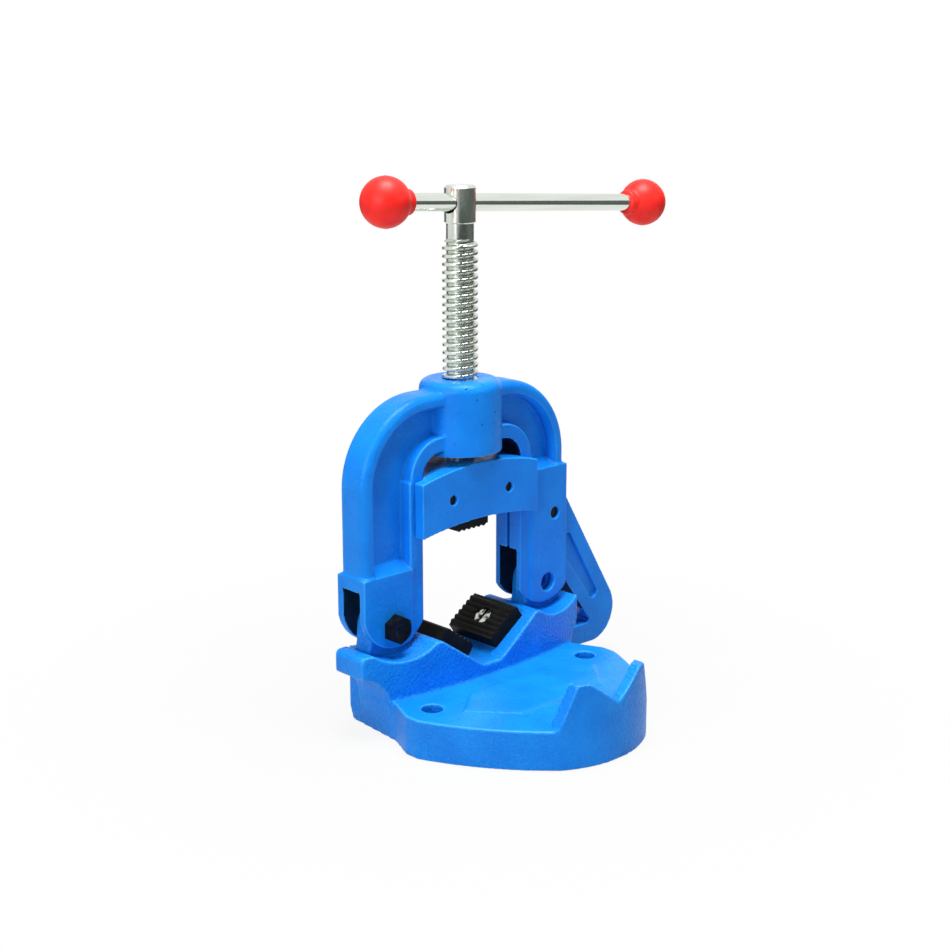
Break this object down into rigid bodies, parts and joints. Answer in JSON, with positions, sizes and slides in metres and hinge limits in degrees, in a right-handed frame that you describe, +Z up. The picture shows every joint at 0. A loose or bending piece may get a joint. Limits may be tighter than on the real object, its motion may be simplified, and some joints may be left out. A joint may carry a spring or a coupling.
{
  "type": "yoke pipe vise",
  "caption": "Bench yoke pipe vise: cast base with V jaws and a pipe rest, hinged yoke with a screw-driven upper jaw, hook latch and sliding bar handle.",
  "frame": {"origin": "on the bench face of the base, under the axis of the spindle", "axes": "+Z up along the spindle, +X from the hinge side to the latch side, -Y to the front where the pipe rest is; the pipe lies along Y"},
  "size_m": [0.2272, 0.1315, 0.2735],
  "materials": {
    "blue_enamel": "satin blue enamel on cast iron",
    "jaw_steel": "hardened, black oxide",
    "black_steel": "black oxide",
    "bright_steel": "bright zinc",
    "red_plastic": "gloss"
  },
  "bodies": {
    "base": {"base": "blue_enamel", "lower_jaw_left": "jaw_steel", "lower_jaw_right": "jaw_steel", "lower_jaw_screw_left": "bright_steel", "lower_jaw_screw_right": "bright_steel"},
    "yoke": {"yoke": "blue_enamel", "hinge_bolt": "black_steel", "hinge_washer": "black_steel", "hinge_nut": "black_steel", "latch_pin": "black_steel"},
    "latch": {"latch": "blue_enamel"},
    "carriage": {"jaw_carriage": "blue_enamel", "upper_jaw": "jaw_steel", "upper_jaw_pin_left": "black_steel", "upper_jaw_pin_right": "black_steel"},
    "spindle": {"spindle": "bright_steel", "spindle_ring": "bright_steel"},
    "handle": {"handle_bar": "bright_steel", "knob_near": "red_plastic", "knob_far": "red_plastic"}
  },
  "joints": [
    {"name": "yoke_hinge", "type": "hinge", "parent": "base", "child": "yoke", "pos_m": [-0.0542, 0, 0.054], "axis": [0, -1, 0], "range_deg": [0, 42]},
    {"name": "latch_pivot", "type": "hinge", "parent": "yoke", "child": "latch", "pos_m": [0.0592, 0, 0.0914], "axis": [0, -1, 0], "range_deg": [0, 54]},
    {"name": "jaw_slide", "type": "slide", "parent": "yoke", "child": "carriage", "axis": [0, 0, 1], "range_m": [-0.0451, 0.0018]},
    {"name": "screw_turn", "type": "hinge", "parent": "carriage", "child": "spindle", "pos_m": [0, 0, 0.15], "axis": [0, 0, 1], "range_deg": [-4050, 153]},
    {"name": "handle_slide", "type": "slide", "parent": "spindle", "child": "handle", "axis": [0.998, 0, -0.0628], "range_m": [-0.113, 0.023]}
  ],
  "couplings": [
    {"joint": "jaw_slide", "follows": "screw_turn", "m_per_rad": 0.00063662}
  ]
}
